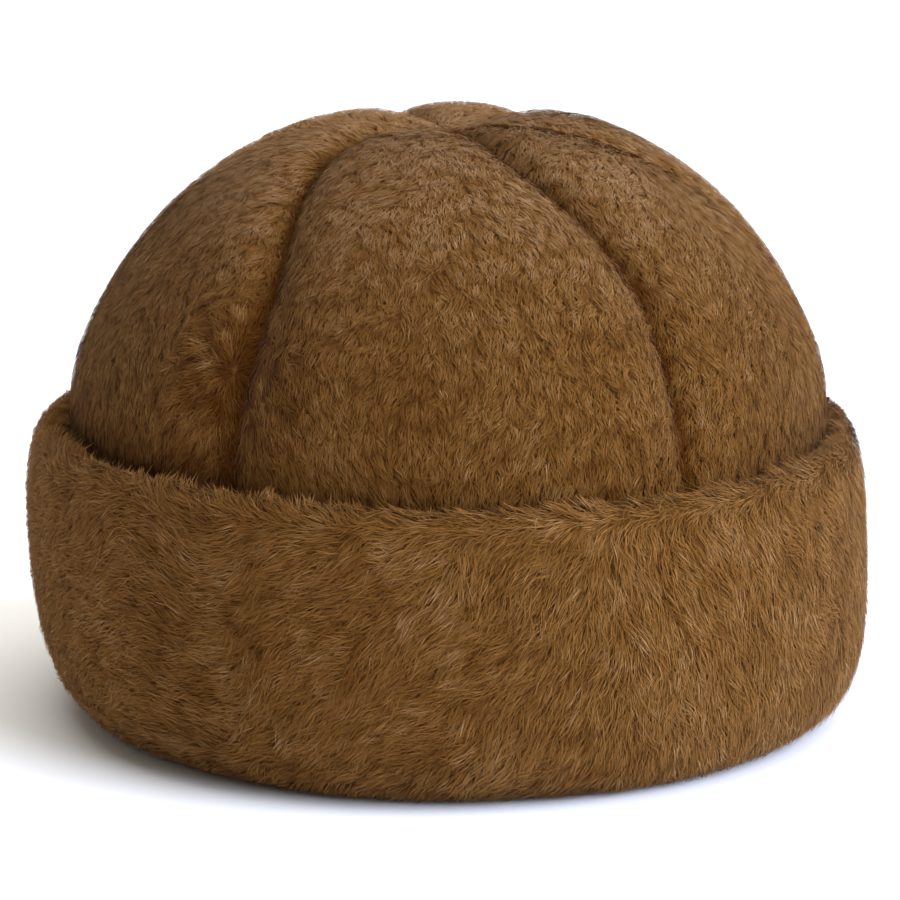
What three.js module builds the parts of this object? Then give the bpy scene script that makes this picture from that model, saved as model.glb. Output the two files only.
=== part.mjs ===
// Long-pile faux-fur beanie: six sewn gores make the domed crown, and a deep band of the same cloth
// is sewn to their lower edge and turned up round them as a cuff. The hat stands on the fold of the cuff.
// Millimetres, +Z up. The front of the hat faces -Y, and azimuths run from the front towards +X.
import * as THREE from "three";

const { lerp, smoothstep, degToRad, radToDeg, euclideanModulo } = THREE.MathUtils;

// Inside of the hat
const HEAD_HALF_BREADTH = 86; // ear to ear, at the brow
const LENGTH_PER_BREADTH = 1.14; // the plan is an oval, longer from front to back
const BROW = 60; // height where the upright wall turns in to the dome
const DOME_TOP = 135; // height of the lining at the apex
const DOME_FULLNESS = { reach: 2.5, height: 1.75 }; // exponents of the dome's superellipse
const MERIDIAN = 175; // length of the lining from the apex to the sewn edge

// Fur cloth: knitted backing and standing pile together
const FREE_WALL = 8.8; // pile standing free on the crown
const PRESSED_WALL = 5.5; // pile pressed flat under the cuff
const SPRING_FROM = -4; // heights from the cuff's free edge between which the pile springs up
const SPRING_TO = 10;
const SEAM_WALL = 5; // pile caught in a seam
const SEAM_SETTLE = 0.55; // share of the dome over which a seam drifts
const SEAM_ROLL = 9; // width over which a gore rolls down into its seam
const APEX_ROLL = 16; // reach over which the pile dips to the point where the seams meet

// Clearances between sewn pieces
const SEAM_GAP = 0.3;
const CUFF_GAP = 0.7; // between the pressed pile and the leg of the cuff
const GORE_TIP = 0.9; // reach of a gore's tip from the apex

// Sewn edge between the gores and the band
const SEWN_EDGE = 14;

// Locks: the pile lies in tufts, each standing out from the wall and leaning with the nap
const LOCK_RISE = 1.3;
const LOCK_LEAN = 2.2;
const LOCK_SPREAD = 0.45; // share by which locks differ from each other

// The six seams, in order round the hat. A seam starts at one azimuth at the apex and drifts to another
// by the time it reaches the sewn edge.
const SEAMS = [
  { name: "front_left", apex: -56, edge: -33 },
  { name: "front_right", apex: 20, edge: 37 },
  { name: "right", apex: 70, edge: 90 },
  { name: "back_right", apex: 144, edge: 149 },
  { name: "back_left", apex: 204, edge: 210 },
  { name: "left", apex: 262, edge: 268 },
];

// The gores, each running from the seam of the same row to the next seam. Puff is how far the cloth
// swells between its seams.
const GORES = [
  { name: "gore_front", puff: 1.6 },
  { name: "gore_front_right", puff: 1.4 },
  { name: "gore_back_right", puff: 1.6 },
  { name: "gore_back", puff: 1.4 },
  { name: "gore_back_left", puff: 1.0 },
  { name: "gore_front_left", puff: 1.0 },
];

// Sections of the cuff. Foot is where the outside of the fold lifts off the surface, and bulge is its
// widest point, both measured out from the lining. Top is the height of the free edge.
const CUFF_SECTIONS = [
  { azimuth: 0, foot: -5.0, bulge: 15.8, bulgeHeight: 38, top: 70 },
  { azimuth: 45, foot: -3.5, bulge: 16.2, bulgeHeight: 31, top: 70 },
  { azimuth: 90, foot: -2.5, bulge: 15.6, bulgeHeight: 27, top: 71 },
  { azimuth: 135, foot: -3.5, bulge: 16.2, bulgeHeight: 33, top: 71 },
  { azimuth: 180, foot: -5.0, bulge: 15.8, bulgeHeight: 38, top: 70 },
  { azimuth: 225, foot: -7.0, bulge: 16.2, bulgeHeight: 45, top: 71 },
  { azimuth: 270, foot: -8.3, bulge: 15.6, bulgeHeight: 51, top: 72 },
  { azimuth: 315, foot: -7.0, bulge: 16.2, bulgeHeight: 45, top: 71 },
];
const FOOT_WIDTH = 6; // flat of the fold where the hat stands
const MOUTH_CURL = 5; // how far the fold swells into the mouth
const FOLD_FULLNESS = 2.4; // exponents of the two curves of the cuff's outside
const SHOULDER_FULLNESS = 2.4;
const LIP = 9; // crest of the free edge, out from the lining
const LIP_ROUND = 4; // depth over which the free edge rounds into the leg beside the crown

// Facets
const GORE_COLUMNS = 12;
const GORE_ROWS = 19;
const WALL_ROWS = 4; // rows below the brow
const CUFF_COLUMNS = 96;
const FOLD_STEPS = 6;
const SHOULDER_STEPS = 6;
const MOUTH_STEPS = 4;

const furCloth = (colour) => new THREE.MeshStandardMaterial({ color: colour, roughness: 0.95, metalness: 0 });
const crownFur = furCloth(0x6c4a27);
const cuffFur = furCloth(0x664421);

// A repeatable share from 0 to 1 for the lock at a column and row: the fraction of a fast sine.
const SHUFFLE = { perColumn: 12.9898, perRow: 78.233, stretch: 43758.5453 };
function share(column, row) {
  const mixed = Math.sin(column * SHUFFLE.perColumn + row * SHUFFLE.perRow) * SHUFFLE.stretch;
  return mixed - Math.floor(mixed);
}

// How far the lock at a column and row stands out: every other point is a tuft, with hollows between.
function lockRise(column, row) {
  const tuft = (column + row) % 2 === 0;
  return tuft ? LOCK_RISE * (1 - LOCK_SPREAD * share(column, row)) : 0;
}

// A point of the oval plan at an azimuth, and the plan's outward direction there.
function onPlan(azimuth, reach, height) {
  return new THREE.Vector3(
    reach * Math.sin(azimuth),
    -LENGTH_PER_BREADTH * reach * Math.cos(azimuth),
    height,
  );
}
function planOutward(azimuth) {
  return new THREE.Vector3(LENGTH_PER_BREADTH * Math.sin(azimuth), -Math.cos(azimuth), 0).normalize();
}

// The lining along one meridian, from the apex (0) to the sewn edge (1).
const DOME_SHARE = 1 - WALL_ROWS / GORE_ROWS;
function lining(along, azimuth) {
  if (along > DOME_SHARE) {
    const down = (along - DOME_SHARE) / (1 - DOME_SHARE);
    return onPlan(azimuth, HEAD_HALF_BREADTH, lerp(BROW, SEWN_EDGE, down));
  }
  const turn = (along / DOME_SHARE) * (Math.PI / 2);
  const reach = HEAD_HALF_BREADTH * Math.sin(turn) ** (2 / DOME_FULLNESS.reach);
  const rise = (DOME_TOP - BROW) * Math.cos(turn) ** (2 / DOME_FULLNESS.height);
  return onPlan(azimuth, Math.max(reach, GORE_TIP), BROW + rise);
}

// The lining's outward normal, from two short steps along and across it, taken just clear of its ends.
const STEP = 1e-3;
const APEX_CLEAR = 0.02;
function liningNormal(along, azimuth) {
  const from = Math.min(Math.max(along, APEX_CLEAR), 1 - STEP);
  const here = lining(from, azimuth);
  const down = lining(from + STEP, azimuth).sub(here);
  const across = lining(from, azimuth + STEP).sub(here);
  return down.cross(across).normalize();
}

// The closed solid between an outer and an inner grid of points, both as rows of columns.
function shellBetween(outer, inner) {
  const rows = outer.length;
  const columns = outer[0].length;
  const points = [...outer.flat(), ...inner.flat()];
  const at = (side, row, column) => (side * rows + row) * columns + column;
  const triangles = [];
  const quad = (a, b, c, d) => triangles.push(a, b, c, b, d, c);
  for (let row = 0; row + 1 < rows; row++) {
    for (let column = 0; column + 1 < columns; column++) {
      const corner = (side, r, c) => at(side, row + r, column + c);
      quad(corner(0, 0, 0), corner(0, 1, 0), corner(0, 0, 1), corner(0, 1, 1));
      quad(corner(1, 0, 0), corner(1, 0, 1), corner(1, 1, 0), corner(1, 1, 1));
    }
    const last = columns - 1;
    quad(at(0, row, 0), at(1, row, 0), at(0, row + 1, 0), at(1, row + 1, 0));
    quad(at(0, row, last), at(0, row + 1, last), at(1, row, last), at(1, row + 1, last));
  }
  for (let column = 0; column + 1 < columns; column++) {
    const last = rows - 1;
    quad(at(0, 0, column), at(0, 0, column + 1), at(1, 0, column), at(1, 0, column + 1));
    quad(at(0, last, column), at(1, last, column), at(0, last, column + 1), at(1, last, column + 1));
  }
  return meshGeometry(points, triangles);
}

function meshGeometry(points, triangles) {
  const geometry = new THREE.BufferGeometry().setFromPoints(points);
  geometry.setIndex(triangles);
  geometry.computeVertexNormals();
  return geometry;
}

// The azimuth of a seam part of the way from the apex to the sewn edge.
function seamAzimuth(seam, along) {
  return degToRad(lerp(seam.apex, seam.edge, smoothstep(along, 0, SEAM_SETTLE * DOME_SHARE)));
}

// One gore: a wall of fur cloth between two seams, thinner where its pile is caught in a seam or pressed
// under the cuff, with the locks raised on its outside.
function goreGeometry(gore, left, right) {
  const outer = [];
  const inner = [];
  for (let row = 0; row <= GORE_ROWS; row++) {
    const along = row / GORE_ROWS;
    const reach = lining(along, Math.PI / 2).x;
    const inset = SEAM_GAP / 2 / reach;
    const start = seamAzimuth(left, along) + inset;
    const end = seamAzimuth(right, along) - inset;
    const halfWidth = (reach * (end - start)) / 2;
    const outerRow = [];
    const innerRow = [];
    for (let column = 0; column <= GORE_COLUMNS; column++) {
      const even = (2 * column) / GORE_COLUMNS - 1;
      const across = (even + Math.sin((even * Math.PI) / 2)) / 2; // columns close up towards the seams
      const azimuth = lerp(start, end, (across + 1) / 2);
      const base = lining(along, azimuth);
      const { top } = cuffSection(azimuth);
      const free = smoothstep(base.z, top + SPRING_FROM, top + SPRING_TO);
      const fromSeam = Math.min(((1 - Math.abs(across)) * halfWidth) / SEAM_ROLL, 1);
      const fromApex = Math.min(reach / APEX_ROLL, 1);
      const roll = Math.sqrt(1 - (1 - fromSeam) ** 2) * fromApex;
      const swell = gore.puff * (1 - across * across) * free * fromApex;
      const full = lerp(PRESSED_WALL, FREE_WALL, free) + swell;
      const inside = column > 0 && column < GORE_COLUMNS && row > 1;
      const lock = inside ? free * lockRise(column, row) : 0;
      const lean = lock > 0 ? (LOCK_LEAN * lock) / LOCK_RISE : 0;
      const leaned = lining(Math.min(along + lean / MERIDIAN, 1), azimuth);
      const wall = lerp(Math.min(SEAM_WALL, full), full, roll) + lock;
      outerRow.push(leaned.addScaledVector(liningNormal(along, azimuth), wall));
      innerRow.push(base);
    }
    outer.push(outerRow);
    inner.push(innerRow);
  }
  return shellBetween(outer, inner);
}

// The cuff's section at an azimuth, eased between the two nearest rows of the table.
function cuffSection(azimuth) {
  const step = 360 / CUFF_SECTIONS.length;
  const place = euclideanModulo(radToDeg(azimuth) / step, CUFF_SECTIONS.length);
  const before = CUFF_SECTIONS[Math.floor(place)];
  const after = CUFF_SECTIONS[(Math.floor(place) + 1) % CUFF_SECTIONS.length];
  const eased = smoothstep(place - Math.floor(place), 0, 1);
  const mix = (column) => lerp(before[column], after[column], eased);
  return { foot: mix("foot"), bulge: mix("bulge"), bulgeHeight: mix("bulgeHeight"), top: mix("top") };
}

// The closed outline of the turned-up band at one azimuth, as distances out from the lining and heights: up
// the outside from the foot, over the free edge, down beside the crown to the sewn edge, and round the mouth.
function cuffOutline(section) {
  const { foot, bulge, bulgeHeight, top } = section;
  const bare = (out, height) => ({ out, height, lock: false });
  const outline = [bare(foot, 0)];
  for (let step = 1; step <= FOLD_STEPS; step++) {
    const turn = (step / FOLD_STEPS) * (Math.PI / 2);
    const out = lerp(foot, bulge, Math.sin(turn) ** (2 / FOLD_FULLNESS));
    const height = bulgeHeight * (1 - Math.cos(turn) ** (2 / FOLD_FULLNESS));
    outline.push({ out, height, lock: step > 1 });
  }
  for (let step = 1; step <= SHOULDER_STEPS; step++) {
    const turn = (step / SHOULDER_STEPS) * (Math.PI / 2);
    const out = lerp(LIP, bulge, Math.cos(turn) ** (2 / SHOULDER_FULLNESS));
    const height = lerp(bulgeHeight, top, Math.sin(turn) ** (2 / SHOULDER_FULLNESS));
    outline.push({ out, height, lock: step < SHOULDER_STEPS });
  }
  const leg = PRESSED_WALL + CUFF_GAP;
  const sewn = SEWN_EDGE - SEAM_GAP;
  const mouth = foot - FOOT_WIDTH;
  outline.push(bare(leg, top - LIP_ROUND), bare(leg, (sewn + top) / 2), bare(leg, sewn));
  for (let step = 0; step <= MOUTH_STEPS; step++) {
    const turn = (step / MOUTH_STEPS) * Math.PI;
    const out = lerp(0, mouth, step / MOUTH_STEPS) - MOUTH_CURL * Math.sin(turn);
    outline.push(bare(out, (sewn * (1 + Math.cos(turn))) / 2));
  }
  return outline;
}

// The cuff: the outline carried once round the oval, with locks raised on the outside of the band.
function cuffGeometry() {
  const points = [];
  const triangles = [];
  let corners = 0;
  for (let column = 0; column < CUFF_COLUMNS; column++) {
    const azimuth = (2 * Math.PI * column) / CUFF_COLUMNS;
    const outward = planOutward(azimuth);
    const outline = cuffOutline(cuffSection(azimuth));
    corners = outline.length;
    outline.forEach(({ out, height, lock }, corner) => {
      const rise = lock ? lockRise(column, corner) : 0;
      const drop = (LOCK_LEAN * rise) / LOCK_RISE;
      const point = onPlan(azimuth, HEAD_HALF_BREADTH, height - drop);
      points.push(point.addScaledVector(outward, out + rise));
    });
  }
  for (let column = 0; column < CUFF_COLUMNS; column++) {
    const next = (column + 1) % CUFF_COLUMNS;
    for (let corner = 0; corner < corners; corner++) {
      const after = (corner + 1) % corners;
      const [a, b] = [column * corners + corner, column * corners + after];
      const [c, d] = [next * corners + corner, next * corners + after];
      triangles.push(a, c, b, b, c, d);
    }
  }
  return meshGeometry(points, triangles);
}

const crown = new THREE.Group();
GORES.forEach((gore, index) => {
  const left = SEAMS[index];
  const next = SEAMS[(index + 1) % SEAMS.length];
  const round = index + 1 === SEAMS.length ? 360 : 0; // the last gore closes the ring
  const right = { ...next, apex: next.apex + round, edge: next.edge + round };
  const mesh = new THREE.Mesh(goreGeometry(gore, left, right), crownFur);
  mesh.name = gore.name;
  crown.add(mesh);
});

const cuff = new THREE.Mesh(cuffGeometry(), cuffFur);
cuff.name = "cuff_band";

const beanie = new THREE.Group();
beanie.add(crown, cuff);

export default beanie;
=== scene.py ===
import math

import bmesh
import bpy
import numpy as np
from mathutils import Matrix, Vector, kdtree


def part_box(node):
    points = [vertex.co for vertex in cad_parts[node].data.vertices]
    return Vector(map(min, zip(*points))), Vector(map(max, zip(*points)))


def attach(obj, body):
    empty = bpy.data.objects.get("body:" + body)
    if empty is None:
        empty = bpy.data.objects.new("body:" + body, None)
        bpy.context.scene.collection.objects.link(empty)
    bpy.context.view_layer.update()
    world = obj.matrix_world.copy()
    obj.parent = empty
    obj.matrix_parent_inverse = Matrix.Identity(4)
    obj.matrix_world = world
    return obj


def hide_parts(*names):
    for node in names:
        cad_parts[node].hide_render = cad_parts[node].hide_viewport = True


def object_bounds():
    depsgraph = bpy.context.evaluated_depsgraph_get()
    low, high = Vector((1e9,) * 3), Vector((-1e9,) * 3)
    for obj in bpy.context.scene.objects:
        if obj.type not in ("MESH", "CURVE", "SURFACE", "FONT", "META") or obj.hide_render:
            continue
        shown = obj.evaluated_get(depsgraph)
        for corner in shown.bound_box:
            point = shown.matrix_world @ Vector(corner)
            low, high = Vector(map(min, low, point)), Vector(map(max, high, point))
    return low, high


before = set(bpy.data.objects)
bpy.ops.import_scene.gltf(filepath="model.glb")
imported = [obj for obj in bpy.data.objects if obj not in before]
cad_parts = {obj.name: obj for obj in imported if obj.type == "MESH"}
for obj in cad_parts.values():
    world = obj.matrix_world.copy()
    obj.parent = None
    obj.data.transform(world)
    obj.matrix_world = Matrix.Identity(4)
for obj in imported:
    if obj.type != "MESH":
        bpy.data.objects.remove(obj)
cad_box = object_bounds()

# The crown: six gores of brown long-pile faux fur cloth, sewn edge to edge and drawn together at the apex.
# Each is a knitted backing with fine pile standing on it in small locks that lean down the dome. The pile is
# caught short in the seams and thins out under the cuff. In the seams and beside the cuff it is darkened as
# painted shade.
MM = 0.001
APEX = np.array((0, 0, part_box("gore_front")[1].z))
CUFF_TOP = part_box("cuff_band")[1].z
CROWN_PILE = {
    "depth": 0.5 * MM,
    "lift": 0.25 * MM,
    "reach": 2.3 * MM,
    "width": 0.23 * MM,
    "hairs_per_lock": 50,
    "lock_size": 1.5 * MM,
    "pull": 0.3,
    "lock_stray": 0.35,
    "stray": 0.3,
    "closing": 0.55,
    "bent": False,
}
HAIRS_PER_GORE = 74000
PALE_HAIRS = 0.012  # share of the hairs that are much paler than the rest
FLOAT_OVER = 1.4  # how far the highest hairs lie over the coat, in depths of the pile
SMOOTH_IN, SMOOTH_OUT, SMOOTHING_ROUNDS = 0.5, -0.52, 14
CLOSING_REACH = 5 * MM  # how far from a seam the pile leans into it
FLOOR_CLEAR = 0.3 * MM  # lowest height of a hair
BARE_BELOW, COVERED_ABOVE = CUFF_TOP - 14 * MM, CUFF_TOP - 8 * MM  # heights between which the pile starts
# The pile is rubbed up beside the front left seam, where it fans out from one spot.
FAN = {"at": (-48.6 * MM, -77.2 * MM, 95.9 * MM), "near": 4 * MM, "far": 30 * MM}


def ease(value, start, end):
    share = np.clip((value - start) / (end - start), 0, 1)
    return share * share * (3 - 2 * share)


def unit(vectors):
    return vectors / np.maximum(np.linalg.norm(vectors, axis=-1, keepdims=True), 1e-12)


def along_surface(directions, normals):
    return unit(directions - normals * (directions * normals).sum(axis=1, keepdims=True))


def turned(flow, normals, angle):
    """Turns directions on the cloth, towards the right as seen from outside for flow that runs down."""
    return flow * np.cos(angle)[:, None] + np.cross(normals, flow) * np.sin(angle)[:, None]


def swell(points, size, seed):
    """Soft waves over the cloth, from about -1 to 1, with crests about one size apart."""
    rng = np.random.default_rng(seed)
    heading = unit(rng.normal(size=(7, 3))) * (2 * math.pi / size) * rng.uniform(0.6, 1.4, (7, 1))
    return np.sin(points @ heading.T + rng.uniform(0, 2 * math.pi, 7)).mean(axis=1) * 1.9


def cloth_from(node, has_pile, depth):
    """Copies a solid as cloth. The coat is the side that carries pile: its tufts are smoothed out, and the
    backing under it is sunk by the depth of the pile."""
    solid = bmesh.new()
    solid.from_mesh(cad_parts[node].data)
    bmesh.ops.remove_doubles(solid, verts=solid.verts, dist=1e-6)
    solid.normal_update()
    solid.verts.index_update()
    is_coat = np.array([has_pile(face) for face in solid.faces])
    faces = np.array([[point.index for point in face.verts] for face in solid.faces])
    points = np.array([point.co for point in solid.verts])
    solid.free()

    coat = faces[is_coat]
    in_coat = np.zeros(len(points), bool)
    in_coat[coat] = True
    on_rim = in_coat.copy()
    on_rim[np.setdiff1d(coat, faces[~is_coat])] = False
    ties = np.concatenate([coat[:, [0, 1]], coat[:, [1, 2]], coat[:, [2, 0]]])
    ties = np.concatenate([ties, ties[:, ::-1]])
    free = in_coat & ~on_rim
    for strength in (SMOOTH_IN, SMOOTH_OUT) * SMOOTHING_ROUNDS:
        pull, number = np.zeros_like(points), np.zeros(len(points))
        np.add.at(pull, ties[:, 0], points[ties[:, 1]] - points[ties[:, 0]])
        np.add.at(number, ties[:, 0], 1)
        points[free] += strength * pull[free] / number[free, None]

    normals = np.zeros_like(points)
    a, b, c = (points[coat[:, corner]] for corner in range(3))
    for corner in range(3):
        np.add.at(normals, coat[:, corner], np.cross(b - a, c - a))
    normals = unit(normals)
    rim_tree = kdtree.KDTree(int(on_rim.sum()))
    for index in np.flatnonzero(on_rim):
        rim_tree.insert(points[index], int(index))
    rim_tree.balance()
    sink, to_rim = np.zeros(len(points)), np.zeros_like(points)
    for index in np.flatnonzero(in_coat):
        sink[index] = depth(points[index])
        to_rim[index] = np.array(rim_tree.find(points[index])[0]) - points[index]
    return {
        "faces": faces,
        "is_coat": is_coat,
        "coat": coat,
        "points": points,
        "normals": normals,
        "sink": sink,
        "to_rim": to_rim,
    }


def spots_on(cloth, count, cover, rng):
    """Random places on the coat, spread evenly by area and thinned by cover."""
    coat, points = cloth["coat"], cloth["points"]
    a, b, c = (points[coat[:, corner]] for corner in range(3))
    weight = np.linalg.norm(np.cross(b - a, c - a), axis=1) * cover(points)[coat].mean(axis=1)
    chosen = coat[rng.choice(len(coat), count, p=weight / weight.sum())]
    along, across = rng.random(count), rng.random(count)
    over = along + across > 1
    along[over], across[over] = 1 - along[over], 1 - across[over]
    shares = np.stack([1 - along - across, along, across], axis=1)
    spread = {}
    for label in ("points", "normals", "sink", "to_rim"):
        corners = cloth[label][chosen]
        weights = shares.reshape(shares.shape + (1,) * (corners.ndim - 2))
        spread[label] = (corners * weights).sum(axis=1)
    spread["normals"] = unit(spread["normals"])
    spread["from_rim"] = np.linalg.norm(spread["to_rim"], axis=1)
    return spread


def grow_pile(cloth, count, cover, nap, dress, pile, seed):
    """Grows the pile. Each hair is a narrow pointed blade that lies along the nap at its own height in the
    pile, with its tip drawn towards the tip of its lock. Dress gives how long and how pale it is."""
    rng = np.random.default_rng(seed)
    at = spots_on(cloth, count, cover, rng)
    locks = count // pile["hairs_per_lock"]
    lock_at = spots_on(cloth, locks, cover, rng)
    tree = kdtree.KDTree(locks)
    for index, spot in enumerate(lock_at["points"]):
        tree.insert(spot, index)
    tree.balance()
    found = [tree.find(spot) for spot in at["points"]]
    lock = np.array([hit[1] for hit in found])
    from_lock = np.array([hit[2] for hit in found]) / pile["lock_size"]

    lock_turn = rng.normal(0, pile["lock_stray"], locks)
    lock_rise = rng.uniform(0.85, 1.15, locks)
    lock_tone = rng.normal(0, 0.05, locks)
    lock_flow = turned(nap(lock_at["points"], lock_at["normals"]), lock_at["normals"], lock_turn)
    lock_cut = dress(lock_at)[0]
    lock_tip = lock_at["points"] + lock_flow * (pile["reach"] * lock_cut)[:, None]

    normals = at["normals"]
    cut, shade = dress(at)
    flow = nap(at["points"], normals)
    flow = turned(flow, normals, lock_turn[lock] + rng.normal(0, pile["stray"], count))
    closing = pile["closing"] * (1 - ease(at["from_rim"], 0, CLOSING_REACH))[:, None]
    flow = unit(flow * (1 - closing) + along_surface(at["to_rim"], normals) * closing)
    root = at["points"] - normals * (at["sink"] * rng.uniform(-FLOAT_OVER, 1, count))[:, None]
    lift = normals * (pile["lift"] * lock_rise[lock] * rng.uniform(0.5, 1.5, count))[:, None]
    run = flow * (pile["reach"] * rng.uniform(0.6, 1.3, count) * cut)[:, None]
    tip = root + lift + run
    pull = lock_tip[lock] - tip
    pull -= normals * (pull * normals).sum(axis=1, keepdims=True)
    tip += pull * (pile["pull"] * rng.uniform(0.3, 1.3, count))[:, None]
    heading = unit(tip - root)
    flat = unit(np.cross(heading, normals))
    facing = np.cross(flat, heading)
    twist = rng.normal(0, 0.12, count)[:, None]
    flat = flat * np.cos(twist) + facing * np.sin(twist)
    facing = np.cross(flat, heading)
    half = flat * (pile["width"] / 2 * rng.uniform(0.7, 1.3, count))[:, None]
    if pile["bent"]:
        middle = root + lift * 0.66 + (tip - root - lift) * 0.36
        points = np.stack([root, middle - half, middle + half, tip], axis=1)
        along, side = np.array([0, 0.45, 0.45, 1]), np.array([0, -1, 1, 0])
        blades = np.array([[0, 2, 1], [1, 2, 3]])
    else:
        points = np.stack([root - half, root + half, tip], axis=1)
        along, side = np.array([0, 0, 1]), np.array([-1, 1, 0])
        blades = np.array([[0, 1, 2]])
    per_hair = points.shape[1]
    tone = 0.5 + lock_tone[lock] + rng.normal(0, 0.06, count) + 0.05 * swell(at["points"], 30 * MM, 3)
    # Hairs away from the middle of their lock are darkened: painted shade between the locks.
    tone += 0.05 - 0.1 * np.clip(from_lock, 0, 1.5) ** 2 + shade
    tone[rng.random(count) < PALE_HAIRS] += 0.3
    tone = np.clip(tone, 0.02, 0.98)
    first = np.arange(count)[:, None, None] * per_hair
    points = points.reshape(-1, 3)
    points[:, 2] = np.maximum(points[:, 2], FLOOR_CLEAR)
    return {
        "points": points,
        "normals": np.repeat(unit(0.88 * normals + 0.12 * facing), per_hair, axis=0),
        "along": np.tile(along, count).astype(float),
        "side": np.tile(side, count).astype(float),
        "tone": np.repeat(tone, per_hair),
        "faces": (first + blades).reshape(-1, 3),
    }


def fur_piece(name, piles, cloth, materials):
    """One mesh of the pile and the backing under it. The pile's map runs by tone and by share along the hair,
    and the backing's by bearing and height."""
    labels = ("points", "normals", "along", "side", "tone")
    points, normals, along, side, tone = (np.concatenate([pile[label] for pile in piles]) for label in labels)
    spread = np.stack([0.02 + 0.96 * tone + 0.006 * side, 0.01 + 0.47 * along], axis=1)
    starts = np.cumsum([0] + [len(pile["points"]) for pile in piles])
    faces = np.concatenate([pile["faces"] + start for pile, start in zip(piles, starts)])
    finish = np.zeros(len(faces))
    if cloth is not None:
        backing = cloth["points"] - cloth["normals"] * cloth["sink"][:, None]
        bearing = np.arctan2(backing[:, 0], -backing[:, 1]) / (2 * math.pi) + 0.5
        height = np.clip(backing[:, 2] / cad_box[1].z, 0, 1)
        faces = np.concatenate([faces, cloth["faces"] + len(points)])
        finish = np.concatenate([finish, np.where(cloth["is_coat"], 0, 1)])
        points = np.concatenate([points, backing])
        normals = np.concatenate([normals, np.zeros_like(backing)])
        along = np.concatenate([along, np.full(len(backing), 0.25)])
        tone = np.concatenate([tone, np.full(len(backing), 0.36)])
        spread = np.concatenate([spread, np.stack([0.02 + 0.96 * bearing, 0.52 + 0.46 * height], axis=1)])
    mesh = bpy.data.meshes.new(name)
    mesh.vertices.add(len(points))
    mesh.vertices.foreach_set("co", points.astype(np.float32).ravel())
    mesh.loops.add(faces.size)
    mesh.loops.foreach_set("vertex_index", faces.astype(np.int32).ravel())
    mesh.polygons.add(len(faces))
    mesh.polygons.foreach_set("loop_start", np.arange(0, faces.size, 3, dtype=np.int32))
    mesh.polygons.foreach_set("use_smooth", np.ones(len(faces), bool))
    mesh.polygons.foreach_set("material_index", finish.astype(np.int32))
    for label, values in (("along", along), ("tone", tone)):
        mesh.attributes.new(label, "FLOAT", "POINT").data.foreach_set("value", values.astype(np.float32))
    bake = mesh.uv_layers.new(name="OFBake")
    bake.data.foreach_set("uv", spread[faces.ravel()].astype(np.float32).ravel())
    mesh.update(calc_edges=True)
    mesh.normals_split_custom_set_from_vertices(normals.tolist())
    for material in materials:
        mesh.materials.append(material)
    piece = bpy.data.objects.new(name, mesh)
    bpy.context.scene.collection.objects.link(piece)
    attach(piece, "root")
    return piece


def fur_material(name, root, tip):
    """Acrylic pile: dark at the root and paler to the tip, each hair with a tone of its own."""
    material = bpy.data.materials.new(name)
    material.use_nodes = True
    nodes, links = material.node_tree.nodes, material.node_tree.links
    shader = nodes["Principled BSDF"]
    shader.inputs["Roughness"].default_value = 0.8
    shader.inputs["Specular IOR Level"].default_value = 0
    shader.inputs["Sheen Weight"].default_value = 0.08
    shader.inputs["Sheen Roughness"].default_value = 0.6
    shader.inputs["Sheen Tint"].default_value = (1, 0.8, 0.58, 1)
    tone = nodes.new("ShaderNodeAttribute")
    tone.attribute_name = "tone"
    along = nodes.new("ShaderNodeAttribute")
    along.attribute_name = "along"
    ends = []
    for dark, middling, light in (root, tip):
        ramp = nodes.new("ShaderNodeValToRGB")
        ramp.color_ramp.elements.new(0.5)
        for stop, colour in zip(ramp.color_ramp.elements, (dark, middling, light)):
            stop.color = colour + (1,)
        links.new(tone.outputs["Fac"], ramp.inputs["Fac"])
        ends.append(ramp)
    paling = nodes.new("ShaderNodeMapRange")
    paling.interpolation_type = "SMOOTHSTEP"
    paling.inputs["From Min"].default_value = 0
    paling.inputs["From Max"].default_value = 0.8
    links.new(along.outputs["Fac"], paling.inputs["Value"])
    blend = nodes.new("ShaderNodeMix")
    blend.data_type = "RGBA"
    links.new(paling.outputs["Result"], blend.inputs["Factor"])
    links.new(ends[0].outputs["Color"], blend.inputs[6])
    links.new(ends[1].outputs["Color"], blend.inputs[7])
    links.new(blend.outputs[2], shader.inputs["Base Color"])
    return material


def knit_material(name):
    """The back of the cloth: a fine warp knit of brown yarn, in upright wales."""
    material = bpy.data.materials.new(name)
    material.use_nodes = True
    nodes, links = material.node_tree.nodes, material.node_tree.links
    shader = nodes["Principled BSDF"]
    shader.inputs["Roughness"].default_value = 0.9
    shader.inputs["Specular IOR Level"].default_value = 0.15
    place = nodes.new("ShaderNodeTexCoord")
    wales = nodes.new("ShaderNodeTexWave")
    wales.inputs["Scale"].default_value = 180
    wales.inputs["Distortion"].default_value = 1.5
    wales.inputs["Detail"].default_value = 2
    links.new(place.outputs["Object"], wales.inputs["Vector"])
    shades = nodes.new("ShaderNodeValToRGB")
    shades.color_ramp.elements[0].color = (0.055, 0.025, 0.008, 1)
    shades.color_ramp.elements[1].color = (0.12, 0.06, 0.022, 1)
    links.new(wales.outputs["Fac"], shades.inputs["Fac"])
    links.new(shades.outputs["Color"], shader.inputs["Base Color"])
    relief = nodes.new("ShaderNodeBump")
    relief.inputs["Strength"].default_value = 0.5
    relief.inputs["Distance"].default_value = 0.4 * MM
    links.new(wales.outputs["Fac"], relief.inputs["Height"])
    links.new(relief.outputs["Normal"], shader.inputs["Normal"])
    return material


def on_gore_outside(face):
    middle = face.calc_center_median()
    out = Vector((middle.x, middle.y, max(middle.z - 40 * MM, 0))).normalized()
    return face.normal.dot(out) > 0.35 and face.normal.z > -0.7


def crown_cover(points):
    return ease(points[:, 2], BARE_BELOW, COVERED_ABOVE)


def crown_depth(point):
    return CROWN_PILE["depth"] * float(ease(point[2], BARE_BELOW, COVERED_ABOVE))


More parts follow.
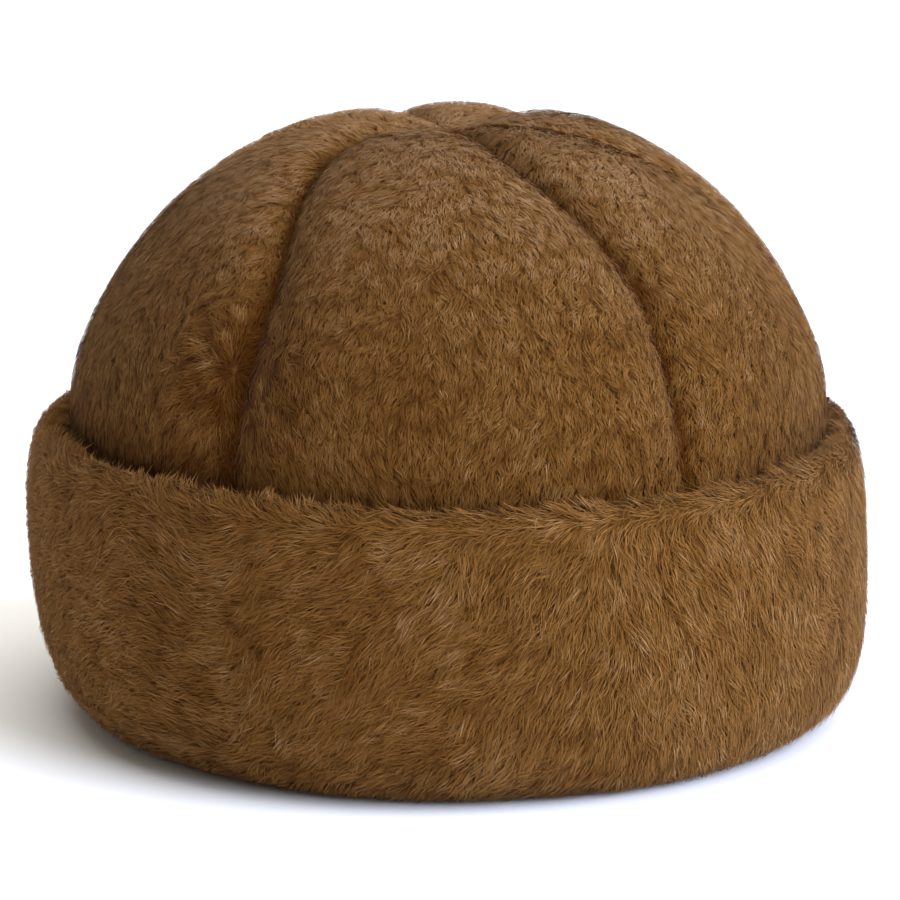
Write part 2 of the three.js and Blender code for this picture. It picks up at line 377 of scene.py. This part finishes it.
def crown_nap(points, normals):
    """The nap swirls round the apex and runs down the dome, swinging a little from side to side."""
    down = along_surface(points - APEX, normals)
    swirl = 0.7 * (1 - ease(np.linalg.norm(points[:, :2], axis=1), 22 * MM, 72 * MM))
    return turned(down, normals, 0.45 * swell(points, 50 * MM, 5) - 0.12 - swirl)


def fanned_nap(points, normals):
    away = points - np.array(FAN["at"])
    weight = (1 - ease(np.linalg.norm(away, axis=1), FAN["near"], FAN["far"]))[:, None]
    return unit(crown_nap(points, normals) * (1 - weight) + along_surface(away, normals) * weight)


def crown_dress(at):
    """Pile in the seams is cut short and shows its dark roots, and is darkened further as painted shade of
    the seam grooves, most on the hat's left half. Pile by the cuff is darkened away from the front, as
    painted shade where the cuff stands out. Round the apex the pile is made paler, as painted light from
    above. Where it is rubbed up, it is long and mottled, and darkened as painted shade of its pits."""
    points = at["points"]
    bearing = np.degrees(np.arctan2(points[:, 0], -points[:, 1]))
    below_apex = ease(np.linalg.norm(points[:, :2], axis=1), 12 * MM, 40 * MM)
    from_seam = at["from_rim"] * (1 + 0.35 * swell(points, 24 * MM, 7))
    by_cuff = 1 - ease(points[:, 2], CUFF_TOP - 1 * MM, CUFF_TOP + 13 * MM)
    # Painted shade on the pile just above the cuff, strongest away from the front.
    painted_cuff_shade_side = 0.1 + 0.9 * ease(-bearing, 20, 40) + 0.5 * ease(bearing, 30, 50)
    # Painted shade in the seam grooves, deeper on the seams of the left half.
    seam_shade = 0.3 + 0.34 * ease(-bearing, 5, 20)
    cut = 1 - 0.35 * (1 - ease(from_seam, 0, 4.5 * MM)) + 0.3 * by_cuff
    in_seam = 0.6 * (1 - ease(from_seam, 0, 5.5 * MM)) + 0.7 * (1 - ease(from_seam, 0, 2.5 * MM))
    # Painted light: the pile round the apex is made paler, as where the top is lit.
    painted_apex_light = -0.07 + 0.25 * ease(points[:, 2], CUFF_TOP + 28 * MM, APEX[2] - 4 * MM)
    shade = painted_apex_light - seam_shade * below_apex * in_seam - 0.28 * by_cuff * painted_cuff_shade_side
    rubbed = 1 - ease(np.linalg.norm(points - np.array(FAN["at"]), axis=1), 0.2 * FAN["far"], FAN["far"])
    # The rubbed-up pile is mottled at random, and darkened overall as painted shade of its pits.
    shade += rubbed * (0.3 * swell(points, 6 * MM, 12) - 0.16)
    return cut + 0.7 * rubbed, shade


FUR_ROOT = ((0.05, 0.0135, 0.0006), (0.132, 0.055, 0.0108), (0.25, 0.138, 0.06))
FUR_TIP = ((0.08, 0.023, 0.001), (0.19, 0.084, 0.018), (0.37, 0.215, 0.105))
crown_fur = fur_material("crown_fur", FUR_ROOT, FUR_TIP)
knit_back = knit_material("knit_back")
for order, node in enumerate(sorted(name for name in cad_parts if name.startswith("gore_"))):
    cloth = cloth_from(node, on_gore_outside, crown_depth)
    nap = fanned_nap if node == "gore_front_left" else crown_nap
    pile = grow_pile(cloth, HAIRS_PER_GORE, crown_cover, nap, crown_dress, CROWN_PILE, 100 + order)
    gore = fur_piece(node + "_fur", [pile], cloth, [crown_fur, knit_back])
    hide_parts(node)

# The cuff: a deep band of the same cloth, sewn to the gores' lower edge and turned up round them. Its pile is
# brushed longer than the crown's and lies in slanting locks. It lies along the free edge at the top, and the
# hat's weight presses it flat under the fold that it stands on.
GUARD_HAIR = {
    "depth": 0.6 * MM,
    "lift": 0.6 * MM,
    "reach": 5 * MM,
    "width": 0.23 * MM,
    "hairs_per_lock": 40,
    "lock_size": 2.6 * MM,
    "pull": 0.3,
    "lock_stray": 0.26,
    "stray": 0.24,
    "closing": 0,
    "bent": True,
}
UNDERCOAT = GUARD_HAIR | {
    "lift": 0.4 * MM,
    "reach": 3.6 * MM,
    "hairs_per_lock": 80,
    "stray": 0.35,
    "bent": False,
}
GUARD_HAIRS, UNDERCOAT_HAIRS = 42000, 82000  # on each third of the cuff
FOOT_DEPTH, LIP_DEPTH = 0.5 * MM, 0.5 * MM
SEWN_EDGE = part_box("gore_front")[0].z
# How the pile is brushed round the cuff: degrees from straight down, towards the right as seen from outside.
CUFF_BRUSHING = [
    {"bearing": -180, "slant": -30},
    {"bearing": -150, "slant": -35},
    {"bearing": -115, "slant": -45},
    {"bearing": -80, "slant": -60},
    {"bearing": -52, "slant": -62},
    {"bearing": -44, "slant": -76},
    {"bearing": -36, "slant": -108},
    {"bearing": -29, "slant": -90},
    {"bearing": -23, "slant": -48},
    {"bearing": -4, "slant": -52},
    {"bearing": 3, "slant": -42},
    {"bearing": 11, "slant": -42},
    {"bearing": 16, "slant": -25},
    {"bearing": 22, "slant": 10},
    {"bearing": 27, "slant": 20},
    {"bearing": 41, "slant": 20},
    {"bearing": 60, "slant": 24},
    {"bearing": 90, "slant": 10},
    {"bearing": 125, "slant": -15},
    {"bearing": 180, "slant": -30},
]


def on_cuff_outside(face):
    middle = face.calc_center_median()
    out = Vector((middle.x, middle.y, 0)).normalized()
    beside_crown = middle.z > SEWN_EDGE - 0.4 * MM and face.normal.dot(out) < -0.93
    at_sewn_edge = middle.z < SEWN_EDGE and face.normal.z > 0.9
    return not beside_crown and not at_sewn_edge


def cuff_depth(point):
    if point[2] < 0.5 * MM:
        return FOOT_DEPTH
    at_lip = float(ease(point[2], CUFF_TOP - 7 * MM, CUFF_TOP - 3 * MM))
    return GUARD_HAIR["depth"] * (1 - at_lip) + LIP_DEPTH * at_lip


def cuff_nap(points, normals):
    """The nap follows the brushing round the cuff. At the free edge it lies along the edge and over it."""
    fall = np.array([0, 0, -1.0]) + points * np.array([0.5, 0.5, 0])
    down = along_surface(fall, normals)
    bearing = np.degrees(np.arctan2(points[:, 0], -points[:, 1]))
    bearings = [row["bearing"] for row in CUFF_BRUSHING]
    slant = np.interp(bearing, bearings, [row["slant"] for row in CUFF_BRUSHING])
    along_edge = ease(points[:, 2], CUFF_TOP - 10 * MM, CUFF_TOP - 3 * MM)
    slant = slant * (1 - along_edge) - 118 * along_edge
    stray = (0.3 + 0.2 * along_edge) * swell(points, 32 * MM, 9) + 0.5 * along_edge * swell(points, 9 * MM, 4)
    return turned(down, normals, np.radians(slant) + stray)


def cuff_dress(at):
    height = at["points"][:, 2]
    cut = 0.8 + 0.2 * ease(height, 0, 8 * MM) + 0.3 * ease(height, CUFF_TOP - 5 * MM, CUFF_TOP - 1 * MM)
    return cut, -0.03 - 0.1 * (1 - ease(height, 0, 10 * MM))


cuff_fur = fur_material("cuff_fur", FUR_ROOT, FUR_TIP)
cuff_cloth = cloth_from("cuff_band", on_cuff_outside, cuff_depth)
for order, (third, middle) in enumerate((("front", 0), ("back_right", 120), ("back_left", -120))):

    def this_third(points):
        bearing = np.degrees(np.arctan2(points[:, 0], -points[:, 1]))
        return (np.abs((bearing - middle + 180) % 360 - 180) <= 60).astype(float)

    piles = [
        grow_pile(cuff_cloth, UNDERCOAT_HAIRS, this_third, cuff_nap, cuff_dress, UNDERCOAT, 200 + order),
        grow_pile(cuff_cloth, GUARD_HAIRS, this_third, cuff_nap, cuff_dress, GUARD_HAIR, 300 + order),
    ]
    backing = cuff_cloth if third == "front" else None
    cuff = fur_piece(f"cuff_{third}_fur", piles, backing, [cuff_fur, knit_back])
    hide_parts("cuff_band")

# The studio: a pale floor, a broad soft light from the upper right, a weaker one overhead, and a pale sky all
# round. The camera has a long lens and looks down on the hat a little.
FLOOR_SIZE = 12
floor_mesh = bpy.data.meshes.new("floor")
corner = FLOOR_SIZE / 2
floor_corners = [(-corner, -corner, 0), (corner, -corner, 0), (corner, corner, 0), (-corner, corner, 0)]
floor_mesh.from_pydata(floor_corners, [], [(0, 1, 2, 3)])
floor = bpy.data.objects.new("floor", floor_mesh)
bpy.context.scene.collection.objects.link(floor)
floor_paint = bpy.data.materials.new("floor_paint")
floor_paint.use_nodes = True
floor_paint.node_tree.nodes["Principled BSDF"].inputs["Base Color"].default_value = (0.91, 0.9, 0.87, 1)
floor_paint.node_tree.nodes["Principled BSDF"].inputs["Roughness"].default_value = 0.9
floor_mesh.materials.append(floor_paint)

LIGHTS = [
    {"name": "key", "from": (0.82, -0.42, 0.5), "breadth": 60, "strength": 5.2, "colour": (0.9, 1.02, 1.32)},
    {"name": "top", "from": (0.1, 0.2, 1), "breadth": 70, "strength": 2.5, "colour": (1, 1, 1)},
]
for row in LIGHTS:
    lamp = bpy.data.lights.new(row["name"], "SUN")
    lamp.angle = math.radians(row["breadth"])
    lamp.energy = row["strength"]
    lamp.color = row["colour"]
    holder = bpy.data.objects.new(row["name"], lamp)
    holder.rotation_euler = (-Vector(row["from"])).to_track_quat("-Z", "Y").to_euler()
    bpy.context.scene.collection.objects.link(holder)

sky = bpy.data.worlds.new("sky")
sky.use_nodes = True
sky.node_tree.nodes["Background"].inputs["Color"].default_value = (1, 0.94, 0.84, 1)
sky.node_tree.nodes["Background"].inputs["Strength"].default_value = 0.36
bpy.context.scene.world = sky
bpy.context.scene.view_settings.view_transform = "Standard"

CAMERA_AT = Vector((0, -1.1311, 0.2906))
CAMERA_AIM = Vector((0.0005, 0, 0.0615))
camera_data = bpy.data.cameras.new("camera")
camera_data.lens = 187.8
camera_data.sensor_width = 36
camera_data.clip_start = 0.05
camera = bpy.data.objects.new("camera", camera_data)
camera.location = CAMERA_AT
camera.rotation_euler = (CAMERA_AIM - CAMERA_AT).to_track_quat("-Z", "Y").to_euler()
bpy.context.scene.collection.objects.link(camera)
bpy.context.scene.camera = camera
